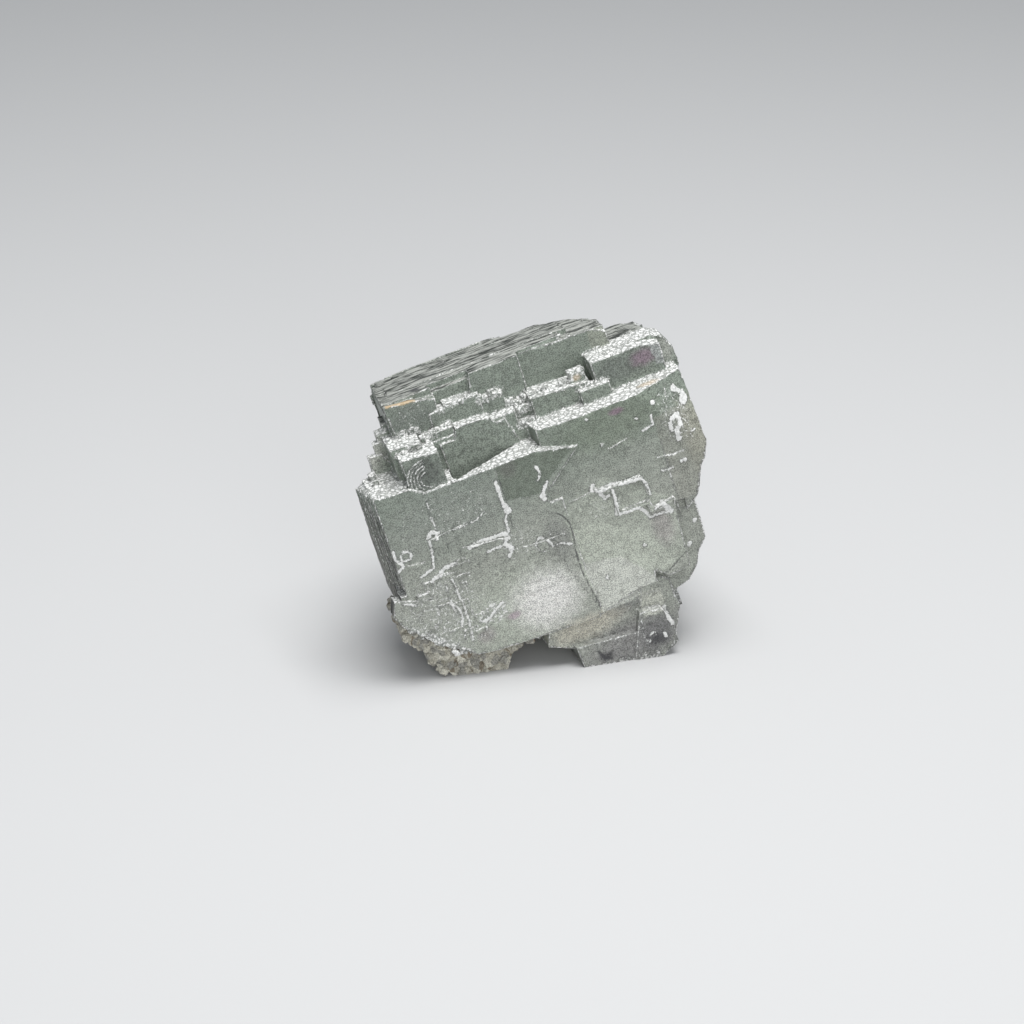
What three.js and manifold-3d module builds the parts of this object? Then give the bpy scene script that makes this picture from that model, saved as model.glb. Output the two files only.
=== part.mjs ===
// A hand-sized mineral specimen: stepped, right-angled crystals grown together in one mass,
// with a crust of small grains under its left foot. Millimetres, +Z up, resting on z = 0.
import * as THREE from 'three';
import { mergeVertices } from 'three/addons/utils/BufferGeometryUtils.js';
import Module from 'manifold-3d';

const wasm = await Module();
wasm.setup();

// ---- how the crystal lattice stands on the table, degrees ----
const latticeTurn = 14; // about the upright: the front faces look a little to the left
const latticeTip = 2; // the front faces lean back
const latticeLean = 16.5; // the ledges climb to the right
// ---- how the lower right crystal stands ----
const cornerTurn = 18;
// ---- the table, below the lattice origin ----
const tableLevel = -28;
// ---- the lattice planes that many faces share ----
const frontFace = 0; // the big front faces
const rightFace = -0.5; // the wall on the right, set back by a step
const ledgeTop = -2.15; // the ledge across the front
const longLedgeTop = -0.05; // the long ledge on the right
const summitTop = 8.5; // the striped top
const meetingGap = 0.3; // space between the crystals and the grain crust

// Lattice axes: a runs right along the ledges, b runs up, c runs out to the front.
const turn = THREE.MathUtils.degToRad(latticeTurn);
const tip = THREE.MathUtils.degToRad(latticeTip);
const outward = new THREE.Vector3(
  Math.sin(turn) * Math.cos(tip), -Math.cos(turn) * Math.cos(tip), Math.sin(tip));
const level = new THREE.Vector3(Math.cos(turn), Math.sin(turn), 0);
const latticePose = new THREE.Matrix4()
  .makeBasis(level, new THREE.Vector3().crossVectors(outward, level), outward)
  .multiply(new THREE.Matrix4().makeRotationZ(THREE.MathUtils.degToRad(latticeLean)));

// ---- making solids ----
function toSolid(geometry) {
  geometry.deleteAttribute('normal');
  geometry.deleteAttribute('uv');
  const merged = mergeVertices(geometry, 1e-5);
  return new wasm.Manifold(new wasm.Mesh({
    numProp: 3,
    vertProperties: new Float32Array(merged.attributes.position.array),
    triVerts: new Uint32Array(merged.index.array),
  }));
}

function prism(outline, depth) {
  const shape = new THREE.Shape(outline.map(([x, y]) => new THREE.Vector2(x, y)));
  return new THREE.ExtrudeGeometry(shape, { depth, bevelEnabled: false });
}

// A crystal drawn by its front face, as [a, b] points, from its front back to its rear.
function block(outline, front, rear) {
  return toSolid(prism(outline, front - rear).translate(0, 0, rear));
}

// A crystal drawn by its top face, as [a, c] points, from its top down to its bottom.
function shelf(outline, top, bottom) {
  const geometry = prism(outline.map(([a, c]) => [a, -c]), top - bottom);
  return toSolid(geometry.rotateX(-Math.PI / 2).translate(0, bottom, 0));
}

// A crystal drawn by its left face, as [c, b] points, from its left side to its right side.
function flank(outline, left, right) {
  const geometry = prism(outline, right - left);
  return toSolid(geometry.rotateY(-Math.PI / 2).translate(right, 0, 0));
}

// Takes away what lies outside the plane through three points, seen anticlockwise from outside.
function cutCorner(solid, p, q, r) {
  const size = 40;
  const points = [p, q, r].map((point) => new THREE.Vector3(...point));
  const facing = new THREE.Plane().setFromCoplanarPoints(...points).normal;
  const box = new THREE.BoxGeometry(size, size, size).translate(0, 0, size / 2);
  box.applyQuaternion(new THREE.Quaternion().setFromUnitVectors(new THREE.Vector3(0, 0, 1), facing));
  return solid.subtract(toSolid(box.translate(points[0].x, points[0].y, points[0].z)));
}

// A low growth ledge on a front face: its lip runs from p to q, and it fades out below and at
// both ends.
function growthLedge(p, q, face, lip, fade) {
  const length = Math.hypot(q[0] - p[0], q[1] - p[1]);
  const inside = -0.5; // how deep it is rooted in the face
  const endSlope = Math.min(1.3, 0.3 * length);
  const profile = [[inside, 0], [lip, 0], [lip * 0.8, -0.25 * fade], [-0.05, -fade], [inside, -fade]];
  const ridge = prism(profile, length).rotateY(-Math.PI / 2).translate(length, 0, 0);
  const plan = [[0, inside], [length, inside], [length, 0], [length - endSlope, lip],
    [endSlope, lip], [0, 0]];
  const turned = THREE.MathUtils.radToDeg(Math.atan2(q[1] - p[1], q[0] - p[0]));
  return toSolid(ridge).intersect(shelf(plan, 0, -fade)).rotate([0, 0, turned])
    .translate([p[0], p[1], face]);
}

function rectangle(left, bottom, right, top) {
  return [[left, bottom], [right, bottom], [right, top], [left, top]];
}

function joinAll(solids) {
  return wasm.Manifold.union(solids);
}

// A repeatable spread of numbers between 0 and 1, so the grains always fall the same way.
function makeDice(seed) {
  let state = seed;
  return () => {
    state = (state * 16807) % 2147483647;
    return state / 2147483647;
  };
}

// ---- the root that the front columns grow from; the grain crust hangs under its lower edge ----
const rootEdge = [
  [-0.9, -15.1], [-1.2, -18.2], [-0.9, -20.2], [0.3, -21.7], [1.8, -23.8], [5.2, -26.1],
  [6.5, -27.3], [9.4, -27.8], [19.0, -28.4],
];
const rootRear = -13;
// The toe stands out to the left of the root, at the front only.
const toeEdge = [[-1.9, -15.2], [-2.6, -17.3], [-1.6, -19.6], [0.3, -21.7]];
const toeRear = -1.6;

function frontColumns() {
  const root = block([...rootEdge, [23.8, -28.7], [23.8, -10], [0, -10], [0, -15.1]],
    frontFace, rootRear);
  const leftColumn = block([[0, -16], [6.7, -16], [6.7, -2.1], [5, -0.95], [0, -0.45]],
    frontFace, -9.3)
    .intersect(shelf([[0, 0], [6.7, 0], [6.7, -9.3], [5.1, -9.3], [1.7, -8.1], [0, -7.3]], 0, -16));
  const leftToe = block([...toeEdge, [3.1, -20.6], [3.6, -17.2]], frontFace + 0.35, toeRear);
  const middle = block([[6.5, -27.3], [9.4, -27.8], [23.8, -28.7], [24.3, -27.2], [23.9, -20],
    [23.4, -13], [22.7, -11.2], [21.6, -8.9], [27.8, -3.7], [22.5, -2.3], [21.5, ledgeTop],
    [21.5, -4.7], [11, -4.7], [11, ledgeTop], [6.5, ledgeTop]], frontFace, -5);
  const wedgeLedge = shelf([[10.9, 0], [22.2, 0], [22.2, -5.06], [11.1, -0.35]], ledgeTop, -5);
  return [root, leftColumn, leftToe, middle, wedgeLedge];
}

// Upright ribs on the left flank: each stands a little further out than the one before it.
function leftRibs() {
  const ribs = 7;
  const firstFront = -0.7;
  const frontStep = 1.05;
  const outStep = 0.15;
  const dice = makeDice(41);
  const backing = [[-7.3, -0.7], [-12.9, -17.5], [-12, -19], [-1, -17], [-1, -0.7]];
  const solids = [flank(backing, -0.1, 8)];
  for (let i = 0; i < ribs; i++) {
    const front = firstFront - i * frontStep;
    const top = -0.5 - 0.12 * i;
    const rear = Math.min(front - 0.5, -7.2);
    const foot = -15.1 - 0.3 * i;
    const footRear = -12.0 - 0.1 * i;
    const out = -(i + 1) * outStep * (0.85 + 0.3 * dice());
    solids.push(flank([[rear, top - 0.1], [footRear, foot], [front, foot + 0.6], [front, top]],
      out, 2));
  }
  return solids;
}

function rightWall() {
  const wall = block([
    [27.2, longLedgeTop], [44.4, longLedgeTop], [44.5, -5.4], [44.7, -9.9], [43.7, -12.3],
    [43.1, -12.9], [41.3, -16.9],
    [38, -16.8], [37.7, -24.4], [37.6, -26.6], [34.5, -26.9], [32.8, -25.4], [32.7, -27.2],
    [30, -27.1], [24.2, -28.7], [20.5, -28.5], [20.5, -5], [27.2, -4.4],
  ], rightFace, -7);
  const worn = cutCorner(wall, [37.2, 0, rightFace], [46, -13, rightFace], [44.5, 0, -3.5]);
  const turnedEnd = shelf([[22.8, -5], [23.3, -1.4], [27.2, rightFace], [30, rightFace], [30, -5]],
    longLedgeTop, -4.4);
  const rearPlate = block([
    [30, -16], [38, -17], [41.0, -18.3], [41.1, -21.6], [41.0, -24.2], [39.7, -25.7],
    [38.8, -27.7], [37.2, -29.4], [34.5, -30.2], [24, -30.2],
  ], -2, -15);
  const sidePlate = block([[40, -12], [43.4, -13], [41.6, -17.4], [39.6, -19]], -1.4, -12);
  return [worn, turnedEnd, rearPlate, sidePlate];
}

// A sunk oblong on the right wall, with raised rims left by later growth.
function wallRims() {
  const rimOut = 0.45;
  const strips = [
    [[28.1, -10.5], [30.6, -11.2], [34.6, -11.0], [34.7, -11.6], [30.6, -11.8], [28.2, -11.1]],
    [[30.3, -11.2], [30.9, -11.2], [31.0, -15.4], [30.3, -15.4]],
    [[30.3, -14.9], [34.4, -14.9], [34.4, -15.5], [30.3, -15.6]],
    [[34.2, -15.0], [34.6, -16.9], [38.2, -16.4], [38.1, -15.8], [35.2, -16.2], [34.8, -14.9]],
    [[34.5, -11.1], [35.3, -12.6], [35.2, -14.0], [34.8, -13.9], [34.8, -12.6], [34.2, -11.4]],
  ];
  return strips.map((strip) => block(strip, rightFace + rimOut, rightFace - 1));
}

// Low ledges on the big front faces, as far from flat as a thumbnail.
function growthLedges() {
  return [
    growthLedge([9.2, -11.4], [15.7, -12.4], frontFace, 0.4, 7),
    growthLedge([5.0, -8.6], [6.8, -8.5], frontFace, 0.35, 4),
    growthLedge([6.9, -8.5], [10.6, -8.2], frontFace, 0.22, 3.2),
    growthLedge([4.4, -13.9], [7.6, -14.4], frontFace, 0.3, 5),
    growthLedge([16.8, -14.6], [22.2, -14.9], frontFace, 0.3, 4),
    growthLedge([1.2, -11], [3.9, -11.3], frontFace, 0.22, 3),
    growthLedge([24.6, -11.2], [28.2, -10.7], rightFace, 0.2, 3),
    growthLedge([37.6, -9.7], [41.3, -10], rightFace, 0.3, 3.4),
    growthLedge([31.8, -5.8], [34.4, -5.4], rightFace, 0.2, 2.6),
  ];
}

// The stairs of smaller crystals that climb from the ledges to the top.
function stairs() {
  return [
    // above the left column
    block([[5.2, -2.4], [10.1, -2.4], [10.15, 2.5], [5.05, 3.1]], -0.6, -6),
    block([[4.4, -1.2], [8.8, -1.2], [8.6, 3.7], [4.4, 3.9]], -3, -9),
    block([[1.7, -1.5], [4.4, -1.5], [4.4, 0.4], [3.6, 1.8], [1.7, 2.2]], -7.6, -8.4),
    block([[2.9, -1.5], [5, -1.5], [5, 3.3], [2.9, 3.5]], -8.0, -9),
    block([[3.7, -1.5], [6.6, -1.5], [6.6, 4.7], [3.7, 4.5]], -8.3, -9.8),
    block([[5.0, -1.5], [9, -1.5], [9, 5.2], [5.0, 5.2]], -9, -12),
    // the wide crystal in the middle
    block([[11.1, -4.9], [21.3, -4.9], [21.3, -1.9], [20.35, 1.85], [19.1, 1.6], [18.45, 2.65],
      [17.1, 2.9], [13.65, 3.05], [13.15, 1.45], [11.05, 1.5]], -4.4, -8),
    block([[8.6, -3], [13.6, -3], [13.4, 3.2], [9.2, 3.2]], -4.9, -9),
    // rubble to its right, up to the wall of the long ledge
    block([[20.4, -5], [24.6, -5], [24.6, 0.1], [21.2, 0.6]], -5.1, -8),
    block([[20.0, -5], [24.4, -5], [24.4, 1.3], [20.4, 1.5]], -5.9, -9),
    block([[19.0, -5], [25.0, -5], [25.0, 2.3], [19.2, 2.7]], -6.6, -10),
    // second row
    block([[11.1, 0], [18.1, 0], [18.15, 5.64], [13.3, 5.96], [13.3, 5.5], [11.1, 5.4]], -6.3, -10),
    block([[17.8, 0], [21.2, 0], [21.3, 4.6], [17.8, 4.75]], -6.4, -10),
    block([[6.4, 0], [9.6, 2.7], [11.6, 3.9], [12.3, 5.2], [12.6, 7.2], [9.3, 8.0], [5.7, 8.45]],
      -6.5, -12),
    // crystals on the long ledge
    block([[24.3, -1], [33.3, -1], [32.7, 1.6], [32.6, 2.4], [24.3, 3.0]], -4.6, -11),
    block(rectangle(30.7, -1, 34.9, 1.85), -3.4, -6),
    block([[33.3, -1], [43, -1.5], [43, 3.9], [40.4, 4.6], [33.3, 4.6]], -4.6, -14)
      .intersect(shelf([[33, -4], [43.4, -4], [43.6, -9], [42, -12.8], [39.6, -14], [33, -14]], 6, -2)),
    block([[38, -2], [44.6, -2], [45.1, -0.6], [44.9, 2.1], [43.9, 4.0], [42.4, 4.7], [38, 4.6]],
      -6.4, -9.5),
    // third row, under the summit
    block([[17.3, 0], [23.3, 2.3], [24.8, 3.9], [24.8, summitTop], [17.9, summitTop], [17.3, 5.9]],
      -7.2, -12),
    block([[24.6, 0], [37.4, 0], [37.4, 3.6], [37.2, 6.75], [35.3, 7.6], [24.6, 8.0]], -8.5, -13),
  ];
}

// The summit: a slab whose top is striped by long, thin growth steps.
function summit() {
  const slab = shelf([[5.6, -7], [12.5, -7], [12.5, -8.2], [17.6, -8.2], [17.6, -7.6], [24.7, -7.6],
    [24.7, -8.8], [37.2, -8.8], [35.9, -11.6], [33.9, -14.6], [29.2, -16.9], [24.6, -17.1],
    [17.4, -16.8], [10.2, -16.2], [5.7, -15.6]], 7.55, 0);
  const stripes = 13;
  const dice = makeDice(7);
  const solids = [slab];
  for (let i = 0; i < stripes; i++) {
    const front = -7.4 - i * 0.68;
    const along = i / (stripes - 1);
    const left = 5.75 + 1.6 * dice() * (i % 3);
    const right = 24.9 + 8.5 * Math.sin(Math.PI * Math.min(1, along + 0.25)) - 3 * dice();
    const top = summitTop + 0.1 - 0.32 * Math.abs(along - 0.35) - 0.22 * (i % 2) - 0.12 * dice();
    const rear = Math.max(front - 2.6, -16.1);
    const start = i === 0 ? 5.9 : left;
    const end = i < 2 ? 12.4 : right;
    solids.push(shelf([[start, front], [end, front + 0.12], [end - 0.8, rear], [start, rear + 0.1]],
      top, 6));
  }
  return solids;
}

// The heart of the mass, between the front crystals and the rear ones, and its feet.
function heart() {
  return [
    block([[2.8, -1.2], [0.6, -5], [0.3, -16], [2, -22], [7, -26.5], [24, -28], [37.5, -29],
      [40.6, -24], [40.8, -18], [43.4, -12], [44.2, -8], [43.6, 0.2], [22, 0.4], [22, 2.2], [7, 2.2],
      [4, -0.8]], -4.8, rootRear - 0.4),
    block([[6.6, 0], [36.6, 0], [35.8, 3.8], [34, 6.4], [6.6, 6.4]], -9, -16.4),
    block([[2.2, -4], [1.2, -12], [2.4, -20], [7.2, -26.2], [24, -30], [38, -34], [39.6, -24],
      [42.4, -13], [42.4, 1.4], [8.4, 1.4], [8.4, -2]], rootRear - 0.3, -17),
    block([[8.6, -23], [30, -25], [31.5, -42], [8.6, -42]], -14.6, -22.6),
    block([[13, -24], [24.6, -24], [24.6, -42], [13, -42]], -21, -26.4),
    block([[27, -26], [37, -28], [37.4, -42], [27, -42]], -15, -20.6),
    block([[38, -4], [44.4, -4.6], [44.2, -8.8], [42.8, -11.4], [38, -12]], -6, -11.5),
    block([[36, -14], [41.9, -14.6], [41.4, -19.8], [36, -23]], -11, -17),
  ];
}

// Behind, square crystals of different lengths stand side by side, longest in the middle.
function rearCrystals() {
  const across = 6;
  const down = 6;
  const middleA = 22;
  const middleB = -10;
  const pitchA = 6.3;
  const pitchB = 5.5;
  const longest = 29.5;
  const roundingA = 9.5; // how much shorter they are at the sides
  const roundingB = 11; // and at the top and bottom
  const lowestStep = 0.55;
  // They stay below the summit and the right-hand top, and inside the left flank.
  const highest = (a, length) => (a < 34 ? 7.3 - 0.5 * (length - 16.7) : 4.2 - 0.5 * (length - 14));
  const leftmost = (top, length) => (top > -8 ? 6.4 + 0.2 * (length - 15.5) : 0.6);
  const dice = makeDice(977);
  const solids = [];
  for (let row = 0; row < down; row++) {
    for (let i = 0; i < across; i++) {
      const a = middleA + (i - (across - 1) / 2) * pitchA + 2.6 * (dice() - 0.5);
      const b = middleB + (row - (down - 1) / 2) * pitchB + 2.2 * (dice() - 0.5);
      const halfA = pitchA * (0.55 + 0.32 * dice());
      const halfB = pitchB * (0.55 + 0.3 * dice());
      const far = ((a - middleA) / 19) ** 2 * roundingA + ((b - middleB) / 17) ** 2 * roundingB;
      const steps = Math.round((longest - far - 2.4 * dice()) / lowestStep);
      const length = Math.max(steps * lowestStep, 15.5);
      const top = Math.min(b + halfB, highest(a + halfA, length));
      const left = Math.max(a - halfA, leftmost(top, length));
      const right = Math.min(a + halfA, 43);
      const corner = 0.5 + 0.8 * dice();
      solids.push(block([[left, b - halfB], [right, b - halfB], [right, top - corner],
        [right - corner, top], [left, top]], rootRear - 1.1, -length));
    }
  }
  return solids;
}

// The lower right crystal has its own lattice. Its outlines are [along, up] points from its
// lower left front corner, and its depths run out to the front.
const cornerPlace = new THREE.Vector3(28.4, 5.95, tableLevel);
const cornerSpin = THREE.MathUtils.degToRad(cornerTurn);
const cornerPose = new THREE.Matrix4().makeBasis(
  new THREE.Vector3(Math.cos(cornerSpin), Math.sin(cornerSpin), 0),
  new THREE.Vector3(0, 0, 1),
  new THREE.Vector3(Math.sin(cornerSpin), -Math.cos(cornerSpin), 0)).setPosition(cornerPlace);

function cornerCrystal() {
  return [
    block([[0.0, -1], [-1.5, 3.1], [2.6, 3.6], [7.3, 4.2], [7.3, -1]], 0, -8.5),
    block([[6.9, -1], [7.4, 7.2], [10.7, 7.3], [12.2, 5.4], [13.2, 2.0], [11.7, 0.6], [9.8, -1]],
      0.2, -8),
    block([[-5.2, 3.4], [-1.1, 2.5], [3.0, 2.7], [8.0, 3.1], [8.0, 10], [4, 11.4], [0, 9.4],
      [-5.1, 7.9]], -0.9, -9),
    block([[7.4, 2], [7.4, 10.4], [10.8, 11.6], [12.2, 11], [13.0, 8.3], [13.8, 6.8], [13.4, 2.4]],
      -1.2, -9.5),
    block([[1.5, -1], [11, -1], [11.8, 6], [10, 9], [3, 9]], -6, -12),
  ];
}

// ---- the crust of grains under the left foot ----
function shiftedEdge(points, distance) {
  return points.map((point, i) => {
    const before = new THREE.Vector2(...points[Math.max(i - 1, 0)]);
    const after = new THREE.Vector2(...points[Math.min(i + 1, points.length - 1)]);
    const along = after.sub(before).normalize();
    return [point[0] + along.y * distance, point[1] - along.x * distance];
  });
}

function grainCrust() {
  const bed = rootEdge.slice(2, -1);
  const clearOf = (edge, front, rear) => block(
    [...shiftedEdge(edge, meetingGap * 1.25), [26, -28.9], [30, 0], [-6, 0], [-6, -15]], front, rear);
  const toeSide = [...toeEdge, ...rootEdge.slice(4)];
  const keepClear = clearOf(rootEdge, 3, -30).add(clearOf(toeSide, 3, toeRear - meetingGap));
  const body = block([
    ...bed, [14.9, -28.1], [14.7, -28.9], [12.5, -29.1], [10.8, -30.2], [9.2, -33], [4.0, -33],
    [1.9, -28.8], [0.6, -26.4], [-0.5, -24.2], [-1.4, -22.4], [-1.9, -20.9],
  ], -1.9, -12.4);
  const rim = new THREE.CatmullRomCurve3([
    [-1.7, -20.9], [-1.1, -22.7], [-0.2, -24.6], [1.0, -26.9], [2.5, -29.2], [5.4, -30.4],
    [8.6, -31.0], [10.6, -29.9], [12.6, -29.1], [14.6, -28.9],
  ].map(([a, b]) => new THREE.Vector3(a, b, 0)));
  const dice = makeDice(2024);
  const places = 17;
  const rows = 6;
  const solids = [body];
  for (let row = 0; row < rows; row++) {
    for (let i = 0; i < places; i++) {
      const spot = rim.getPoint((i + 0.9 * dice()) / places);
      const small = spot.x > 11 ? 0.7 : 1;
      const radius = small * (0.62 + 0.55 * dice());
      const grain = new THREE.IcosahedronGeometry(radius, 0);
      grain.rotateX(3 * dice()).rotateY(3 * dice());
      grain.scale(1, 0.85 + 0.3 * dice(), 0.9 + 0.4 * dice());
      grain.translate(spot.x, spot.y, -2.4 - row * 1.85 + (dice() - 0.5));
      solids.push(toSolid(grain));
    }
  }
  const slice = block(rectangle(-8, -40, 15.1, -14), -1.7, rootRear + 0.2);
  return joinAll(solids).intersect(slice).subtract(keepClear);
}

// ---- assembly ----
function underTable() {
  return toSolid(new THREE.BoxGeometry(200, 200, 40).translate(20, 10, tableLevel - 20));
}

const crystals = joinAll([
  ...frontColumns(), ...leftRibs(), ...rightWall(), ...wallRims(), ...growthLedges(),
  ...stairs(), ...summit(), ...heart(), ...rearCrystals(),
]).transform(latticePose.elements);
const corner = joinAll(cornerCrystal()).transform(cornerPose.elements);
const clusterSolid = crystals.add(corner).subtract(underTable());
const crustSolid = grainCrust().transform(latticePose.elements).subtract(underTable());

function toGeometry(solid) {
  const mesh = solid.getMesh();
  const geometry = new THREE.BufferGeometry();
  const positions = new Float32Array(mesh.numVert * 3);
  for (let i = 0; i < mesh.numVert; i++) {
    for (let k = 0; k < 3; k++) {
      positions[i * 3 + k] = mesh.vertProperties[i * mesh.numProp + k];
    }
  }
  geometry.setAttribute('position', new THREE.BufferAttribute(positions, 3));
  geometry.setIndex(new THREE.BufferAttribute(new Uint32Array(mesh.triVerts), 1));
  geometry.computeVertexNormals();
  return geometry;
}

const cluster = new THREE.Mesh(
  toGeometry(clusterSolid),
  new THREE.MeshStandardMaterial({ color: 0x9aa096, roughness: 0.42, metalness: 0 }));
cluster.name = 'crystal_cluster';

const crust = new THREE.Mesh(
  toGeometry(crustSolid),
  new THREE.MeshStandardMaterial({ color: 0xb5ab98, roughness: 0.85, metalness: 0 }));
crust.name = 'grain_crust';

const specimen = new THREE.Group();
specimen.add(cluster, crust);

// The origin is under the middle of the specimen, on the table.
const extent = new THREE.Box3().setFromObject(specimen);
const middle = extent.getCenter(new THREE.Vector3());
specimen.position.set(-middle.x, -middle.y, -extent.min.z);
specimen.updateMatrixWorld(true);

export default specimen;
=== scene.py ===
# %% [markdown]
# # A stepped crystal specimen
# The object is a cluster of pale green, half-clear crystals that grew together at right angles, like
# stairs, with a crust of sandy grains under its left foot. The solid model gives its true size and
# main faces. This lesson dresses that model: it adds the growth lines, the crumbs and the frost that
# make a mineral look like a mineral, and then lights it.

# %% Load the solid model
import math
import random

import bpy
import numpy as np
from mathutils import Matrix, Vector


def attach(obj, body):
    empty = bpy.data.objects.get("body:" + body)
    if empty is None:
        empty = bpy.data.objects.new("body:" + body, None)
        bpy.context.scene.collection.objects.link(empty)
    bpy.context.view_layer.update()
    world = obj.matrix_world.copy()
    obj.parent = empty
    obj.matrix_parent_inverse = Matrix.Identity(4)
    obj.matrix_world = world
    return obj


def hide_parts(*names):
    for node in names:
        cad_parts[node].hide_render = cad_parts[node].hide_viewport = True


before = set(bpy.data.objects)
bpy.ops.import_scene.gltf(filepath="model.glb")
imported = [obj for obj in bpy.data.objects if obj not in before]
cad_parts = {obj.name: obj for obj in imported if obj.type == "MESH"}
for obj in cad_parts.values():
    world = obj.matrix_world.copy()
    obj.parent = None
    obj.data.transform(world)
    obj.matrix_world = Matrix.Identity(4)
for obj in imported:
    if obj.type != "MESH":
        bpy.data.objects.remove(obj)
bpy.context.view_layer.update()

# %% [markdown]
# All the faces of these crystals are square to each other, but the specimen leans as it rests on
# the table. So the work is done on a "bench", where the crystal lattice stands straight: a runs
# along the ledges, b up and c out to the front, in millimetres. One matrix carries the finished
# work back to the table. Millimetres also suit Blender's merge and boolean tools, which round off
# at about a thousandth of a unit.

# %% The bench and the table
TURN, TIP, LEAN = math.radians(14), math.radians(2), math.radians(16.5)
ORIGIN = Vector((-0.020944, -0.017262, 0.028))  # of the lattice, in metres on the table
outward = Vector((math.sin(TURN) * math.cos(TIP), -math.cos(TURN) * math.cos(TIP), math.sin(TIP)))
level = Vector((math.cos(TURN), math.sin(TURN), 0))
lattice = Matrix((level, outward.cross(level), outward)).transposed() @ Matrix.Rotation(LEAN, 3, "Z")
to_table = Matrix.Translation(ORIGIN) @ lattice.to_4x4() @ Matrix.Scale(0.001, 4)
to_bench = to_table.inverted()
print("lattice axes:", [tuple(round(v, 3) for v in axis) for axis in lattice.transposed()])

# %% [markdown]
# Blender's mesh tools act on what is selected, as they do for someone with a mouse. So a few helpers
# come first: they select one thing alone, go in and out of edit mode, select by a rule, pull points
# about and apply a modifier. The rest make a box, join pieces and grow crystals onto the body.

# %% Small helpers for selecting and editing
def select_only(*objects):
    bpy.ops.object.select_all(action="DESELECT")
    for thing in objects:
        thing.select_set(True)
    bpy.context.view_layer.objects.active = objects[0]


def edit_all(thing, kind="FACE"):
    select_only(thing)
    bpy.ops.object.mode_set(mode="EDIT")
    bpy.ops.mesh.select_mode(type=kind)
    bpy.ops.mesh.select_all(action="SELECT")


def leave_edit():
    bpy.ops.object.mode_set(mode="OBJECT")


def edit_where(thing, flags, kind="FACE"):
    """Edit mode, with only those faces or points selected whose flag is true."""
    edit_all(thing, kind)
    bpy.ops.mesh.select_all(action="DESELECT")
    leave_edit()
    parts = thing.data.polygons if kind == "FACE" else thing.data.vertices
    parts.foreach_set("select", [bool(flag) for flag in flags])
    bpy.ops.object.mode_set(mode="EDIT")


def pull_about(thing, offset, seed):
    """Moves each point a little, at random."""
    edit_all(thing, "VERT")
    bpy.ops.transform.vertex_random(offset=offset, seed=seed)
    leave_edit()


def apply_modifier(thing, kind, **settings):
    select_only(thing)
    modifier = thing.modifiers.new(kind.title(), kind)
    for name, value in settings.items():
        setattr(modifier, name, value)
    bpy.ops.object.modifier_apply(modifier=modifier.name)


def box(low, high):
    """A box between two corners on the bench, for a start of a small crystal."""
    low, high = Vector(low), Vector(high)
    bpy.ops.mesh.primitive_cube_add(size=1, location=(low + high) / 2, scale=high - low)
    bpy.ops.object.transform_apply(location=True, rotation=True, scale=True)
    return bpy.context.object


def join(things, name):
    select_only(*things)
    if len(things) > 1:
        bpy.ops.object.join()
    things[0].name = name
    return things[0]


def grow_onto(body, crystals, name):
    """Boolean union, so that the new crystals and the body are one closed skin.

    Crystals whose boxes touch are added one batch after another.
    """
    batches = []
    for crystal in crystals:
        corners = [v.co for v in crystal.data.vertices]
        low, high = np.min(corners, axis=0), np.max(corners, axis=0)
        for batch in batches:
            if np.all(np.any((batch["low"] > high) | (batch["high"] < low), axis=1)):
                break
        else:
            batch = {"things": [], "low": np.empty((0, 3)), "high": np.empty((0, 3))}
            batches.append(batch)
        batch["things"].append(crystal)
        batch["low"] = np.vstack([batch["low"], low])
        batch["high"] = np.vstack([batch["high"], high])
    for batch in batches:
        tool = join(batch["things"], name)
        apply_modifier(body, "BOOLEAN", operation="UNION", solver="MANIFOLD", object=tool)
        bpy.data.objects.remove(tool)
    print(name, "in", len(batches), "batches")


def count(thing):
    return f"{thing.name}: {len(thing.data.vertices)} points, {len(thing.data.polygons)} faces"


# %% [markdown]
# The body of the specimen starts as a copy of the solid model's mesh. A solid model arrives as
# loose triangles, so its points are merged first, and triangles that lie in one plane are dissolved
# into the single flat face that the real crystal has there.

# %% Copy the crystals to the bench
MERGE = 0.0005  # mm within which two points are one


def copy_to_bench(solid, name):
    """A copy of a solid, on the bench and in edit mode, with its points merged."""
    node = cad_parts[solid]
    thing = bpy.data.objects.new(name, node.data.copy())
    bpy.context.scene.collection.objects.link(thing)
    thing.data.transform(to_bench @ node.matrix_world)
    thing.data.materials.clear()
    edit_all(thing)
    bpy.ops.mesh.remove_doubles(threshold=MERGE)
    return thing


cluster = copy_to_bench("crystal_cluster", "crystals")
bpy.ops.mesh.dissolve_limited(angle_limit=math.radians(0.3))
leave_edit()
print(count(cluster))

# %% [markdown]
# Crystals of this kind grow in terraces: a square face carries a slightly smaller square sheet, and
# that one another. At the back of the specimen the ends of the square crystals show this well. Inset
# is the tool that makes such a terrace: it shrinks each face towards its own middle. A first Inset
# leaves a flat rim, and a second, narrow one with some depth is the step.

# %% Terraces on the crystal ends at the back
REAR = -13.5  # how far back, along c, the rear crystals begin
SMALLEST_END = 5  # square mm
ends = [face.normal.z < -0.99 and face.center.z < REAR and face.area > SMALLEST_END
        for face in cluster.data.polygons]
edit_where(cluster, ends)
for rim in (0.45, 0.6):
    bpy.ops.mesh.inset(thickness=rim, depth=0, use_individual=True)
    bpy.ops.mesh.inset(thickness=0.07, depth=0.16, use_individual=True)
leave_edit()
print("terraced ends:", sum(ends))

# %% [markdown]
# Between the big crystals sit crumbs: little cubes of the same lattice that fill the corners of the
# ledges. They are boxes of random sizes, each with its corners pulled a little off square, and a
# union makes them part of the crystal. A list of lines says where crumbs gather.

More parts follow.
